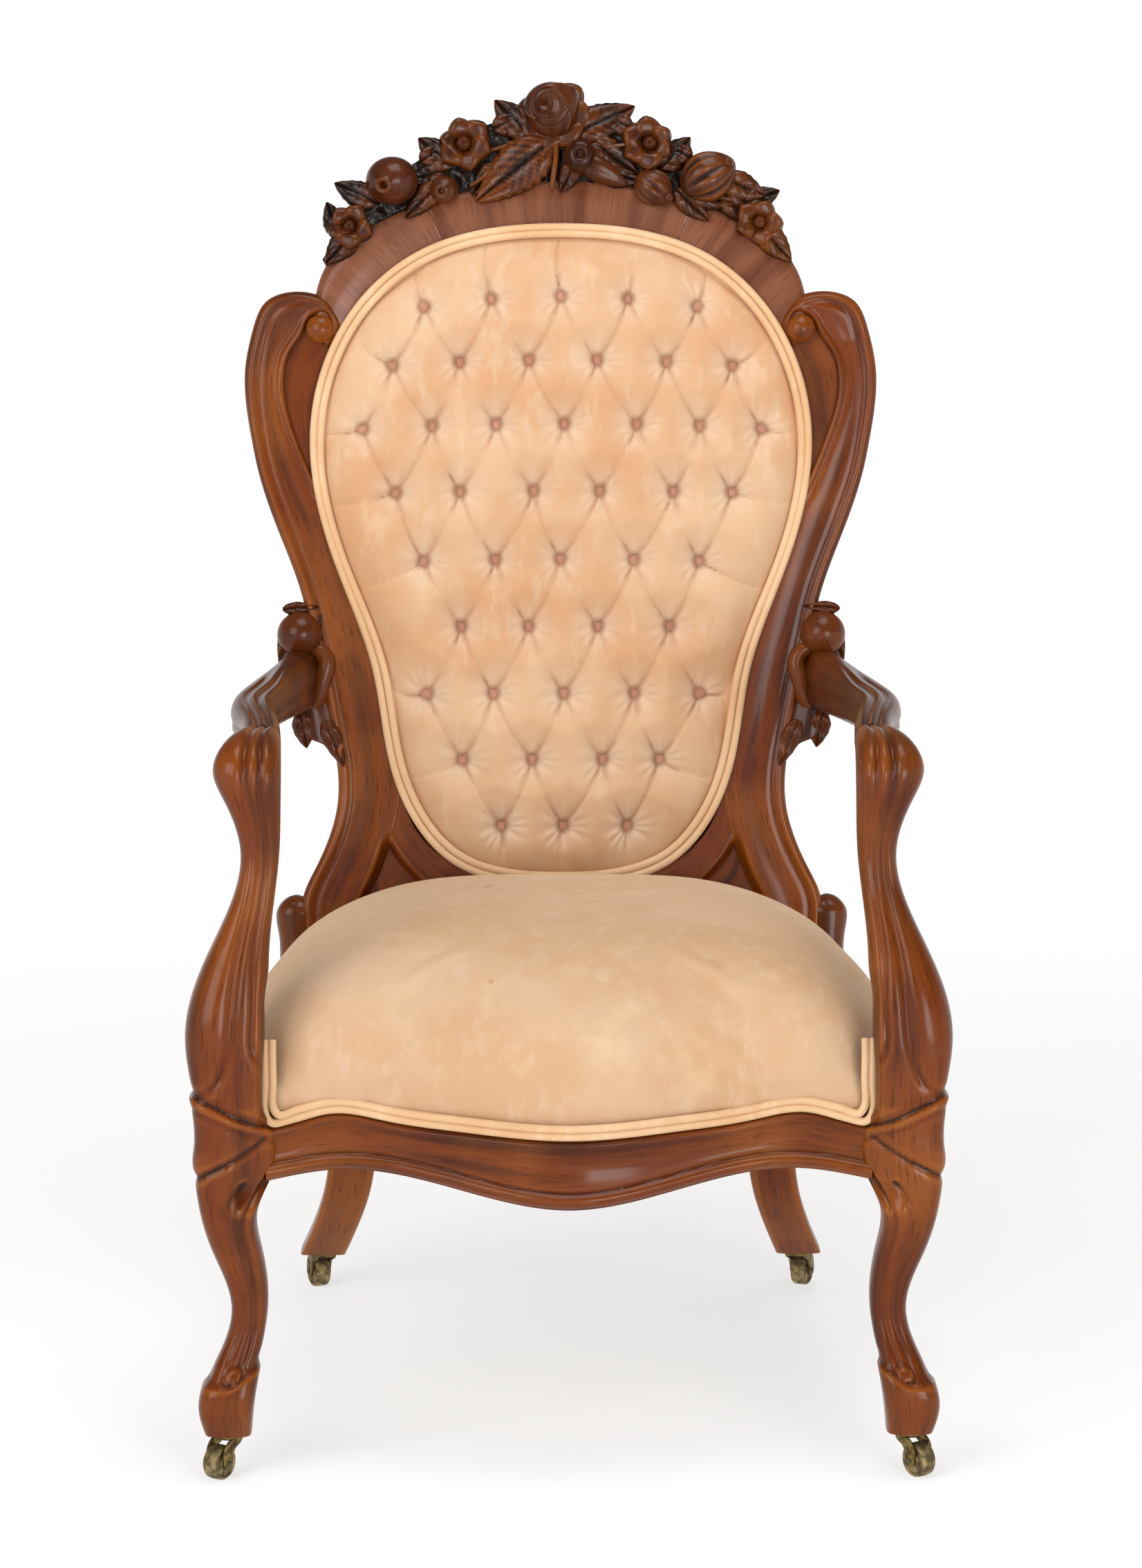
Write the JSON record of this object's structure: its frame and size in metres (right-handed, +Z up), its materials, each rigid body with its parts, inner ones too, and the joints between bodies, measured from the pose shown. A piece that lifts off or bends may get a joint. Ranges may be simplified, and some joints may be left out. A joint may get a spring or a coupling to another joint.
{
  "type": "rococo revival armchair",
  "caption": "Open armchair with a carved walnut frame, button-tufted oval back, sprung velvet seat, cabriole front legs and brass casters that swivel and roll.",
  "frame": {"origin": "on the floor under the middle of the chair", "axes": "+Z up; the chair faces -Y; +X is the viewer's right when facing the chair"},
  "size_m": [0.627, 0.6589, 1.1253],
  "materials": {
    "walnut": "old shellac polish, worn at the edges",
    "birch": "bare secondary wood",
    "screw_steel": "dull slotted wood screw",
    "velvet": "faded apricot cotton velvet",
    "button_velvet": "covered buttons, darker than the pile around",
    "welt_velvet": "double welt in the same velvet",
    "jute": "woven jute webbing and hessian",
    "spring_steel": "tarnished coppered wire",
    "antique_brass": "dull antique brass",
    "axle_steel": "dull steel pin"
  },
  "bodies": {
    "frame": {"front_leg_left": "walnut", "arm_left": "walnut", "rear_post_left": "walnut", "crest_shoulder_left": "walnut", "arm_scroll_left": "walnut", "hip_scroll_left": "walnut", "side_rail_left": "walnut", "front_leg_right": "walnut", "arm_right": "walnut", "rear_post_right": "walnut", "crest_shoulder_right": "walnut", "arm_scroll_right": "walnut", "hip_scroll_right": "walnut", "side_rail_right": "walnut", "crest_rail": "walnut", "lower_back_rail": "walnut", "front_seat_rail": "walnut", "rear_seat_rail": "walnut", "crest_cartouche": "walnut", "crest_rose": "walnut", "crest_flowers": "walnut", "crest_fruit": "walnut", "crest_leaves": "walnut", "rail_dowels": "birch", "arm_dowels": "birch", "back_dowels": "birch", "corner_blocks": "birch", "corner_block_screws": "screw_steel", "back_pad": "velvet", "seat_pad": "velvet", "outside_back": "velvet", "back_buttons": "button_velvet", "back_welt": "welt_velvet", "seat_welt": "welt_velvet", "back_hessian": "jute", "seat_hessian": "jute", "seat_webbing": "jute", "seat_springs": "spring_steel", "caster_plate_front_left": "antique_brass", "caster_plate_rear_left": "antique_brass", "caster_plate_front_right": "antique_brass", "caster_plate_rear_right": "antique_brass"},
    "swivel_front_left": {"caster_horn_front_left": "antique_brass", "caster_axle_front_left": "axle_steel"},
    "roller_front_left": {"caster_wheel_front_left": "antique_brass"},
    "swivel_rear_left": {"caster_horn_rear_left": "antique_brass", "caster_axle_rear_left": "axle_steel"},
    "roller_rear_left": {"caster_wheel_rear_left": "antique_brass"},
    "swivel_front_right": {"caster_horn_front_right": "antique_brass", "caster_axle_front_right": "axle_steel"},
    "roller_front_right": {"caster_wheel_front_right": "antique_brass"},
    "swivel_rear_right": {"caster_horn_rear_right": "antique_brass", "caster_axle_rear_right": "axle_steel"},
    "roller_rear_right": {"caster_wheel_rear_right": "antique_brass"}
  },
  "joints": [
    {"name": "swivel_front_left", "type": "hinge", "parent": "frame", "child": "swivel_front_left", "pos_m": [-0.283, -0.301, 0.034], "axis": [0, 0, 1], "continuous": true},
    {"name": "roll_front_left", "type": "hinge", "parent": "swivel_front_left", "child": "roller_front_left", "pos_m": [-0.29064, -0.31152, 0.0145], "axis": [0.809, -0.5878, 0], "continuous": true},
    {"name": "swivel_rear_left", "type": "hinge", "parent": "frame", "child": "swivel_rear_left", "pos_m": [-0.223, 0.271, 0.034], "axis": [0, 0, 1], "continuous": true},
    {"name": "roll_rear_left", "type": "hinge", "parent": "swivel_rear_left", "child": "roller_rear_left", "pos_m": [-0.22829, 0.28288, 0.0145], "axis": [-0.9135, -0.4067, 0], "continuous": true},
    {"name": "swivel_front_right", "type": "hinge", "parent": "frame", "child": "swivel_front_right", "pos_m": [0.283, -0.301, 0.034], "axis": [0, 0, 1], "continuous": true},
    {"name": "roll_front_right", "type": "hinge", "parent": "swivel_front_right", "child": "roller_front_right", "pos_m": [0.29064, -0.31152, 0.0145], "axis": [0.809, 0.5878, 0], "continuous": true},
    {"name": "swivel_rear_right", "type": "hinge", "parent": "frame", "child": "swivel_rear_right", "pos_m": [0.223, 0.271, 0.034], "axis": [0, 0, 1], "continuous": true},
    {"name": "roll_rear_right", "type": "hinge", "parent": "swivel_rear_right", "child": "roller_rear_right", "pos_m": [0.22829, 0.28288, 0.0145], "axis": [-0.9135, 0.4067, 0], "continuous": true}
  ]
}
